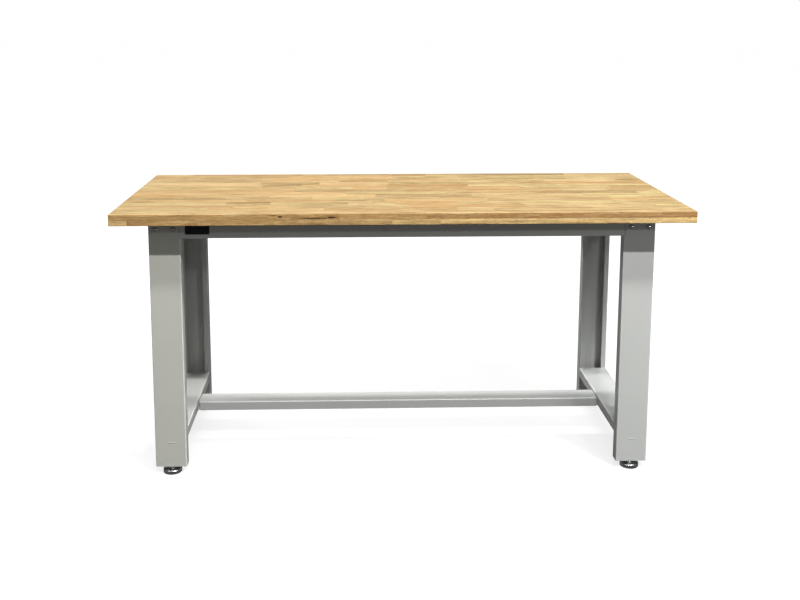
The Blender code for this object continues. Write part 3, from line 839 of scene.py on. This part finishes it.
def upright_corners(bm):
    """The upright edges where two sides of a layer meet."""
    uprights = [e for e in bm.edges if abs(e.verts[0].co.z - e.verts[1].co.z) > SEAM_EDGE_ROUND]
    return [e for e in uprights if e.calc_face_angle() > CORNER_BEND]


def outline_at(bm, z):
    """The edges all round a layer where its sides meet its face at one height."""
    level = [e for e in bm.edges if all(abs(v.co.z - z) < GROOVE_DEPTH for v in e.verts)]
    return [e for e in level if e.calc_face_angle() > CORNER_BEND]


def round_edges(bm, edges, radius, steps):
    bmesh.ops.bevel(
        bm, geom=edges, offset=radius, segments=steps, profile=ROUND_PROFILE, affect="EDGES"
    )


def cut_grooves(bm, z):
    """Fine V grooves along the joints of the outer face. Returns the indices of their faces."""
    nudge = GROOVE_DEPTH / 10
    tops = [f for f in bm.faces if all(abs(v.co.z - z) < nudge for v in f.verts)]
    shared = {v for f in tops for v in f.verts}
    inside = [v for v in shared if all(abs(f.calc_center_median().z - z) < nudge for f in v.link_faces)]
    made = bmesh.ops.inset_individual(bm, faces=tops, thickness=GROOVE_WIDTH / 2, use_even_offset=True)
    middle = (min(v.co.z for v in bm.verts) + max(v.co.z for v in bm.verts)) / 2
    inward = -1 if z > middle else 1
    for vert in inside:
        vert.co.z += inward * GROOVE_DEPTH
    bm.faces.index_update()
    return {f.index for f in made["faces"]}


def paint_staves(mesh, rows, groove):
    """Gives each face its stave's tone, warmth and seed, and marks the faces of the grooves."""
    attribute = mesh.attributes.new("stave", "FLOAT_COLOR", "FACE")
    for polygon in mesh.polygons:
        centre = polygon.center
        row = next((r for r in rows if centre.y <= r.end), rows[-1])
        stave = next((s for s in row.staves if centre.x <= s.end), row.staves[-1])
        tone = stave.tone
        warmth = stave.warmth
        if row is rows[0] and abs(polygon.normal.z) > FLAT_FACING:
            tone = FRONT_ROW_TONE + FRONT_ROW_SHARE * tone
            warmth *= FRONT_ROW_WARMTH
        joint = 1.0 if polygon.index in groove else 0.0
        attribute.data[polygon.index].color = (tone, warmth, stave.seed, joint)


def build_top():
    build_layer("top_upper_layer", UPPER_SEED, FRONT_BOARDS_UPPER, True)
    build_layer("top_lower_layer", LOWER_SEED, FRONT_BOARDS_LOWER, False)


# Turned and six-sided fittings, with a small face where a turned end closes on its axis
HEXAGON = 6
AXIS_RADIUS = 0.0005


def constant(value):
    return lambda angle: value


def hexagon(flats):
    """The radius of a hexagon, as a function of the angle."""
    sector = 2 * math.pi / HEXAGON
    return lambda angle: flats / 2 / math.cos((angle % sector) - sector / 2)


def ring_mesh(name, rings, sides, bored=False):
    """A closed mesh through rings, from the top of its axis to the bottom, or all round a bore.
    A ring is (radius, height), and each of these a number or a function of the angle."""
    bm = bmesh.new()
    loops = []
    for radius, height in rings:
        radius = radius if callable(radius) else constant(radius)
        height = height if callable(height) else constant(height)
        loop = []
        for side in range(sides):
            angle = 2 * math.pi * side / sides
            reach = radius(angle)
            loop.append(bm.verts.new((reach * math.cos(angle), reach * math.sin(angle), height(angle))))
        loops.append(loop)
    skin(bm, loops, bored)
    mesh = mesh_of(name, bm)
    shade_round(mesh)
    return mesh


def arc(radius, height, across, up, steps):
    """Ring sizes on a quarter of an ellipse, from its top out to its side."""
    turns = [math.pi / 2 * step / steps for step in range(steps + 1)]
    return [(radius + across * math.sin(turn), height + up * math.cos(turn)) for turn in turns]


# Levelling feet
PAD_SIDES = 72
PAD_EDGE = 0.0015
PAD_EDGE_STEPS = 4
PAD_SHOULDER = 0.0035
PAD_SHOULDER_STEPS = 10
PAD_RIM_HEIGHT = 0.014
PAD_HUB_RADIUS = 0.011
PAD_WEB_STEPS = 8
PAD_FLOOR = 0.004
STEM_RADIUS = 0.006
STEM_NECK = 0.005
COLLAR_RADIUS = 0.008
COLLAR_HEIGHT = 0.005
THREAD_PITCH = 0.00175
THREAD_DEPTH = 0.0010
THREAD_STEEPNESS = 1.25
THREAD_SIDES = 28
THREAD_STEPS = 6


def pad_mesh(radius, height):
    """A turned pad: hub, flared web, round rim and a shallow bore for the stem's collar."""
    mouth = STEM_NECK + FIT_GAP
    socket = COLLAR_RADIUS + FIT_GAP
    socket_top = PAD_FLOOR + COLLAR_HEIGHT + 2 * FIT_GAP
    shoulder = radius - PAD_SHOULDER
    web_top = height - PAD_EDGE
    web_drop = web_top - PAD_RIM_HEIGHT
    web_run = shoulder - PAD_HUB_RADIUS
    web = []
    for step in range(1, PAD_WEB_STEPS):
        share = step / PAD_WEB_STEPS
        web.append((PAD_HUB_RADIUS + share * web_run, web_top - web_drop * math.sin(share * math.pi / 2)))
    rings = [
        (AXIS_RADIUS, PAD_FLOOR),
        (socket, PAD_FLOOR),
        (socket, socket_top),
        (mouth, socket_top),
        (mouth, height),
        *arc(PAD_HUB_RADIUS - PAD_EDGE, web_top, PAD_EDGE, PAD_EDGE, PAD_EDGE_STEPS),
        *web,
        *arc(shoulder, PAD_RIM_HEIGHT - PAD_SHOULDER, PAD_SHOULDER, PAD_SHOULDER, PAD_SHOULDER_STEPS),
        (radius, PAD_EDGE),
        (radius - PAD_EDGE / 3, PAD_EDGE / 3),
        (radius - PAD_EDGE, 0.0),
    ]
    return ring_mesh("foot_pad", rings, PAD_SIDES)


def thread_radius(height, start, end):
    """The radius of a right-hand thread at a height, as a function of the angle.
    Its flanks end in flat crests, and it runs out at both ends."""
    run_out = max(0.0, min(1.0, (height - start) / THREAD_PITCH, (end - height) / THREAD_PITCH))

    def radius(angle):
        turn = (height / THREAD_PITCH - angle / (2 * math.pi)) % 1.0
        flank = min(1.0, THREAD_STEEPNESS * abs(2 * turn - 1))
        return STEM_RADIUS - THREAD_DEPTH * (1 - run_out * flank)

    return radius


def stem_mesh(low, high, neck_top):
    """A threaded stem with its collar. Heights are above the floor."""
    collar_top = low + COLLAR_HEIGHT
    count = round((high - neck_top) / THREAD_PITCH * THREAD_STEPS)
    heights = [high - (high - neck_top) * step / count for step in range(count + 1)]
    rings = [
        (AXIS_RADIUS, high),
        *((thread_radius(height, neck_top, high), height) for height in heights),
        (STEM_NECK, neck_top - FIT_GAP),
        (STEM_NECK, collar_top),
        (COLLAR_RADIUS, collar_top),
        (COLLAR_RADIUS, low),
        (AXIS_RADIUS, low),
    ]
    return ring_mesh("foot_stem", rings, THREAD_SIDES)


def build_feet():
    pad_low, pad_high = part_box("foot_pad_front_left")
    stem_low, stem_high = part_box("foot_stem_front_left")
    pad = pad_mesh((pad_high.x - pad_low.x) / 2, pad_high.z)
    stem = stem_mesh(stem_low.z, stem_high.z, pad_high.z + NOTCH_GAP)
    for end, _ in ENDS:
        for side, _ in SIDES:
            label = f"{end}_{side}"
            pad_node = f"foot_pad_{label}"
            stem_node = f"foot_stem_{label}"
            centre = middle_of(pad_node)
            placed = at(centre.x, centre.y, 0)
            piece(f"pad_{label}_turned", pad, CHROME, f"pad_{label}", pad_node, placed)
            piece(f"stem_{label}_threaded", stem, STEM_ZINC, f"stem_{label}", stem_node, placed)


# Screws, nuts and bolts
SCREW_SIDES = 36
SCREW_SHANK = 0.004
SCREW_LENGTH = 0.016
SCREW_TIP = 0.0008
SCREW_HEAD_RADIUS = 0.0075
SCREW_HEAD_HEIGHT = 0.0045
SCREW_HEAD_RIM = 0.0012
SCREW_HEAD_EASE = 0.0003
SCREW_DOME_STEPS = 7
SCREW_LAND_RADIUS = 0.0036
SOCKET_FLATS = 0.005
SOCKET_DEPTH = 0.0026
SOCKET_CHAMFER = 0.0002
NUT_FLATS = 0.013
NUT_HEIGHT = 0.0065
NUT_MOUTH_FLARE = 0.0006
NUT_MOUTH_DEPTH = 0.0005
BOLT_HEAD = 0.0053
HEX_LAND_SHARE = 0.95
HEX_CHAMFER_SLOPE = 0.577

# Wood screws, with a cross recess
WOOD_SCREW_RADIUS = 0.0025
WOOD_SCREW_LENGTH = 0.016
WOOD_SCREW_TIP = 0.004
WOOD_SCREW_POINT = 0.0002
WOOD_SCREW_HEAD_RADIUS = 0.005
WOOD_SCREW_HEAD = 0.003
WOOD_SCREW_RIM = 0.001
WOOD_SCREW_LAND = 0.0026
WOOD_SCREW_DOME_STEPS = 5
CROSS_CORE = 0.0011
CROSS_ARM = 0.0009
CROSS_NARROWNESS = 8
CROSS_DEPTH = 0.0013
CROSS_POINT_DEPTH = 0.0016
CROSS_POINT = 0.0003


def screw_mesh():
    """A button-head screw with a six-sided socket, on its seat at height 0."""
    top = SCREW_HEAD_HEIGHT
    socket = hexagon(SOCKET_FLATS)
    dome_run = SCREW_HEAD_RADIUS - SCREW_LAND_RADIUS
    rings = [
        (AXIS_RADIUS, top - SOCKET_DEPTH),
        (socket, top - SOCKET_DEPTH),
        (socket, top - SOCKET_CHAMFER),
        (hexagon(SOCKET_FLATS + 2 * SOCKET_CHAMFER), top),
        *arc(SCREW_LAND_RADIUS, SCREW_HEAD_RIM, dome_run, top - SCREW_HEAD_RIM, SCREW_DOME_STEPS),
        (SCREW_HEAD_RADIUS, SCREW_HEAD_EASE),
        (SCREW_HEAD_RADIUS - SCREW_HEAD_EASE, 0.0),
        *shank_rings(),
    ]
    return ring_mesh("button_screw", rings, SCREW_SIDES)


def shank_rings():
    """The rings of a screw's or bolt's shank, from its seat down to its tip."""
    return [
        (SCREW_SHANK, 0.0),
        (SCREW_SHANK, SCREW_TIP - SCREW_LENGTH),
        (SCREW_SHANK - SCREW_TIP, -SCREW_LENGTH),
    ]


def hexagon_top(flats, height):
    """Rings of a six-sided head's upper end, chamfered by a cone."""
    edge = hexagon(flats)
    land = flats / 2 * HEX_LAND_SHARE
    return [
        (land, height),
        (edge, lambda angle: height - (edge(angle) - land) * HEX_CHAMFER_SLOPE),
    ]


def nut_mesh():
    """A hexagon nut on its seat at height 0."""
    bore = SCREW_SHANK + FIT_GAP
    rings = [
        (bore, 0.0),
        (bore, NUT_HEIGHT - NUT_MOUTH_DEPTH),
        (bore + NUT_MOUTH_FLARE, NUT_HEIGHT),
        *hexagon_top(NUT_FLATS, NUT_HEIGHT),
        (hexagon(NUT_FLATS), 0.0),
    ]
    return ring_mesh("hex_nut", rings, SCREW_SIDES, bored=True)


def bolt_mesh():
    """A hexagon bolt on its seat at height 0."""
    rings = [
        (AXIS_RADIUS, BOLT_HEAD),
        *hexagon_top(NUT_FLATS, BOLT_HEAD),
        (hexagon(NUT_FLATS), 0.0),
        *shank_rings(),
    ]
    return ring_mesh("hex_bolt", rings, SCREW_SIDES)


def wood_screw_mesh():
    """A pan-head wood screw with a cross recess, on its seat at height 0."""
    top = WOOD_SCREW_HEAD
    dome_run = WOOD_SCREW_HEAD_RADIUS - WOOD_SCREW_LAND

    def cross(angle):
        return CROSS_CORE + CROSS_ARM * math.cos(2 * angle) ** CROSS_NARROWNESS

    rings = [
        (CROSS_POINT, top - CROSS_POINT_DEPTH),
        (cross, top - CROSS_DEPTH),
        (cross, top),
        *arc(WOOD_SCREW_LAND, WOOD_SCREW_RIM, dome_run, top - WOOD_SCREW_RIM, WOOD_SCREW_DOME_STEPS),
        (WOOD_SCREW_HEAD_RADIUS, 0.0),
        (WOOD_SCREW_RADIUS, 0.0),
        (WOOD_SCREW_RADIUS, WOOD_SCREW_TIP - WOOD_SCREW_LENGTH),
        (WOOD_SCREW_POINT, -WOOD_SCREW_LENGTH),
    ]
    return ring_mesh("wood_screw", rings, SCREW_SIDES)


def fastener(node, form, mesh, seat, direction):
    """A zinc-plated piece for a CAD node, on its seat, with its head in a direction."""
    piece(f"{node}_{form}", mesh, ZINC, BENCH, node, at(*seat) @ pointing(direction))


def build_fasteners():
    screw = screw_mesh()
    nut = nut_mesh()
    bolt = bolt_mesh()
    wood_screw = wood_screw_mesh()
    for end, sy in ENDS:
        for side, sx in SIDES:
            for place in ("outer", "inner"):
                node = f"apron_screw_{end}_{side}_{place}"
                centre = middle_of(node)
                seat_y = end_of(node, Y, sy) - sy * SCREW_HEAD_HEIGHT
                fastener(node, "button", screw, (centre.x, seat_y, centre.z), (0, sy, 0))
                node = f"apron_nut_{end}_{side}_{place}"
                seat_y = end_of(node, Y, sy)
                fastener(node, "hex", nut, (centre.x, seat_y, centre.z), (0, -sy, 0))
            node = f"stretcher_bolt_{side}_{end}"
            centre = middle_of(node)
            seat_x = end_of(node, X, sx) - sx * BOLT_HEAD
            fastener(node, "hex", bolt, (seat_x, centre.y, centre.z), (sx, 0, 0))
            for into in ("apron", "rail"):
                node = f"top_screw_{into}_{end}_{side}"
                centre = middle_of(node)
                seat_z = end_of(node, Z, -1) + WOOD_SCREW_HEAD
                fastener(node, "pan", wood_screw, (centre.x, centre.y, seat_z), (0, 0, -1))


# Blank plate
PLATE_CORNER = 0.003
PLATE_CORNER_STEPS = 8
PLATE_EASE = 0.0002
PLATE_BORDER = 0.0016
PLATE_SINK = 0.0003


def build_plate():
    """A blank plate: a raised border round a sunk satin field."""
    low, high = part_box("name_plate")
    centre = (low + high) / 2
    size = high - low
    bm = bmesh.new()
    loops = []
    for inset, depth in (
        (0.0, high.y),
        (0.0, low.y + PLATE_EASE),
        (PLATE_EASE, low.y),
        (PLATE_BORDER, low.y),
        (PLATE_BORDER + PLATE_SINK, low.y + PLATE_SINK),
    ):
        points = rounded_rectangle(size.x / 2 - inset, size.z / 2 - inset, PLATE_CORNER - inset)
        loops.append([bm.verts.new((centre.x + x, depth, centre.z + z)) for x, z in points])
    skin(bm, loops)
    mesh = mesh_of("name_plate", bm)
    shade_round(mesh)
    piece("name_plate_blank", mesh, BLACK, BENCH, "name_plate")


def rounded_rectangle(half_x, half_z, corner):
    points = []
    for quarter, (sx, sz) in enumerate(((1, 1), (-1, 1), (-1, -1), (1, -1))):
        for step in range(PLATE_CORNER_STEPS + 1):
            turn = math.pi / 2 * (quarter + step / PLATE_CORNER_STEPS)
            x = sx * (half_x - corner) + corner * math.cos(turn)
            z = sz * (half_z - corner) + corner * math.sin(turn)
            points.append((x, z))
    return points


# CAD nodes that stay
def dress_kept_nodes():
    """Foot plates and stretcher brackets keep their solids, with eased edges and the frame's paint."""
    names = [f"foot_plate_{end}_{side}" for end, _ in ENDS for side, _ in SIDES]
    names += [f"stretcher_bracket_{side}" for side, _ in SIDES]
    for name in names:
        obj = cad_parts[name]
        obj.data.materials.clear()
        obj.data.materials.append(PAINT)
        ease_edges(obj)


# Floor, which glows more from near to far
FLOOR_HALF = 60.0
FLOOR_DIFFUSE = (0.20, 0.20, 0.20, 1.0)
FLOOR_ROUGHNESS = 0.9
FLOOR_REACH = (0.9, 3.0)
FLOOR_GLOW = (0.78, 0.96)

# Dome of light: its brightness from below to above, and the horizon's place on a scale from 0 to 1
SKY_BELOW = 0.09
SKY_LEVEL = 0.16
SKY_ABOVE = 0.18
SKY_HORIZON = 0.5

# Lights
CENTRE_AIM = (0.0, -0.15, 0.45)
STRIP_PLACE = (0.80, -3.35, 4.60)
STRIP_AIM = (0.80, -0.15, 0.45)
STRIP_LENGTH = 4.2
STRIP_WIDTH = 0.10
STRIP_WATTS = 250.0
FILL_PLACE = (1.7, -1.9, 4.6)
FILL_SIZE = 0.4
FILL_WATTS = 165.0
LOW_PLACE = (1.8, -3.3, 2.17)
LOW_SIZE = 0.25
LOW_WATTS = 14.0
GLINT_PLACE = (0.0, -3.5, 2.8)
GLINT_LENGTH = 12.0
GLINT_WIDTH = 0.8
GLINT_WATTS = 185.0
SPARK_PLACE = (1.9, -2.2, 0.75)
SPARK_SIZE = 0.25
SPARK_WATTS = 6.0
REAR_PLACE = (-1.0, 4.4, 1.5)
REAR_SIZE = 1.6
REAR_WATTS = 40.0
HIGH_PLACE = (-1.1, 2.05, 4.0)
HIGH_AIM = (-1.1, -0.15, 0.45)
HIGH_LENGTH = 4.2
HIGH_WIDTH = 0.15
HIGH_WATTS = 210.0
SIDE_PLACE = (2.1, -1.0, 3.95)
SIDE_AIM = (0.75, 0.0, 0.0)
SIDE_SIZE = 0.6
SIDE_WATTS = 40.0
SIDE_COLOUR = (0.86, 0.96, 1.00)


def build_stage():
    """A plain pale floor, which glows so that it is lost in the white surround."""
    bm = bmesh.new()
    bmesh.ops.create_grid(bm, x_segments=1, y_segments=1, size=FLOOR_HALF)
    floor = bpy.data.objects.new("floor", mesh_of("floor", bm))
    bpy.context.scene.collection.objects.link(floor)
    nodes = Nodes("pale_floor")
    nodes.set(
        base_color=FLOOR_DIFFUSE,
        roughness=FLOOR_ROUGHNESS,
        specular_ior_level=0.0,
        emission_color=WHITE,
        emission_strength=nodes.span(nodes.length(nodes.places()), *FLOOR_REACH, *FLOOR_GLOW),
    )
    floor.data.materials.append(nodes.material)
    floor.visible_diffuse = False
    floor.visible_glossy = False


def build_world():
    """A soft surround: white behind the object, and a dimmer dome as light."""
    world = bpy.data.worlds.new("studio")
    bpy.context.scene.world = world
    world.use_nodes = True
    tree = world.node_tree
    place = tree.nodes.new("ShaderNodeTexCoord")
    parts = tree.nodes.new("ShaderNodeSeparateXYZ")
    tree.links.new(place.outputs["Generated"], parts.inputs["Vector"])
    level = tree.nodes.new("ShaderNodeMath")
    level.operation = "MULTIPLY_ADD"
    tree.links.new(parts.outputs["Z"], level.inputs[0])
    level.inputs[1].default_value = SKY_HORIZON
    level.inputs[2].default_value = SKY_HORIZON
    dome = tree.nodes.new("ShaderNodeFloatCurve")
    tree.links.new(level.outputs["Value"], dome.inputs["Value"])
    curve = dome.mapping.curves[0]
    curve.points[0].location = (0.0, SKY_BELOW)
    curve.points[1].location = (1.0, SKY_ABOVE)
    curve.points.new(SKY_HORIZON, SKY_LEVEL)
    dome.mapping.update()
    path = tree.nodes.new("ShaderNodeLightPath")
    pick = tree.nodes.new("ShaderNodeMix")
    tree.links.new(path.outputs["Is Camera Ray"], pick.inputs["Factor"])
    tree.links.new(dome.outputs["Value"], pick.inputs["A"])
    pick.inputs["B"].default_value = 1.0
    background = tree.nodes["Background"]
    tree.links.new(pick.outputs["Result"], background.inputs["Strength"])
    background.inputs["Color"].default_value = WHITE


def area_light(name, place, aim, size, watts, width=None):
    """A round soft light, or a strip that is long along X if it has a width too."""
    lamp = bpy.data.lights.new(name, "AREA")
    lamp.shape = "RECTANGLE" if width else "DISK"
    lamp.size = size
    lamp.size_y = width or size
    lamp.energy = watts
    obj = bpy.data.objects.new(name, lamp)
    bpy.context.scene.collection.objects.link(obj)
    obj.location = place
    obj.rotation_euler = (Vector(aim) - Vector(place)).to_track_quat("-Z", "Y").to_euler()
    obj.visible_camera = False
    return obj


def build_lights():
    """Glint and spark light only what is glossy, and the rear and high lights leave no reflection."""
    area_light("strip", STRIP_PLACE, STRIP_AIM, STRIP_LENGTH, STRIP_WATTS, STRIP_WIDTH)
    area_light("fill", FILL_PLACE, CENTRE_AIM, FILL_SIZE, FILL_WATTS)
    area_light("low", LOW_PLACE, CENTRE_AIM, LOW_SIZE, LOW_WATTS)
    glint = area_light("glint", GLINT_PLACE, CENTRE_AIM, GLINT_LENGTH, GLINT_WATTS, GLINT_WIDTH)
    glint.visible_diffuse = False
    spark = area_light("spark", SPARK_PLACE, CENTRE_AIM, SPARK_SIZE, SPARK_WATTS)
    spark.visible_diffuse = False
    rear = area_light("rear", REAR_PLACE, CENTRE_AIM, REAR_SIZE, REAR_WATTS)
    rear.visible_glossy = False
    high = area_light("high", HIGH_PLACE, HIGH_AIM, HIGH_LENGTH, HIGH_WATTS, HIGH_WIDTH)
    high.visible_glossy = False
    side = area_light("side", SIDE_PLACE, SIDE_AIM, SIDE_SIZE, SIDE_WATTS)
    side.data.color = SIDE_COLOUR


def build_camera():
    data = bpy.data.cameras.new("photo_camera")
    data.lens = CAMERA_LENS_MM
    data.shift_x = CAMERA_SHIFT_X
    data.shift_y = CAMERA_SHIFT_Y
    camera = bpy.data.objects.new("photo_camera", data)
    bpy.context.scene.collection.objects.link(camera)
    camera.location = CAMERA_PLACE
    camera.rotation_euler = (
        math.radians(90 - CAMERA_PITCH_DEG),
        0.0,
        math.radians(CAMERA_YAW_DEG),
    )
    bpy.context.scene.camera = camera


build_camera()
build_stage()
build_world()
build_lights()
build_top()
build_frame()
build_feet()
build_fasteners()
build_plate()
dress_kept_nodes()
bpy.context.scene.view_settings.view_transform = "Standard"
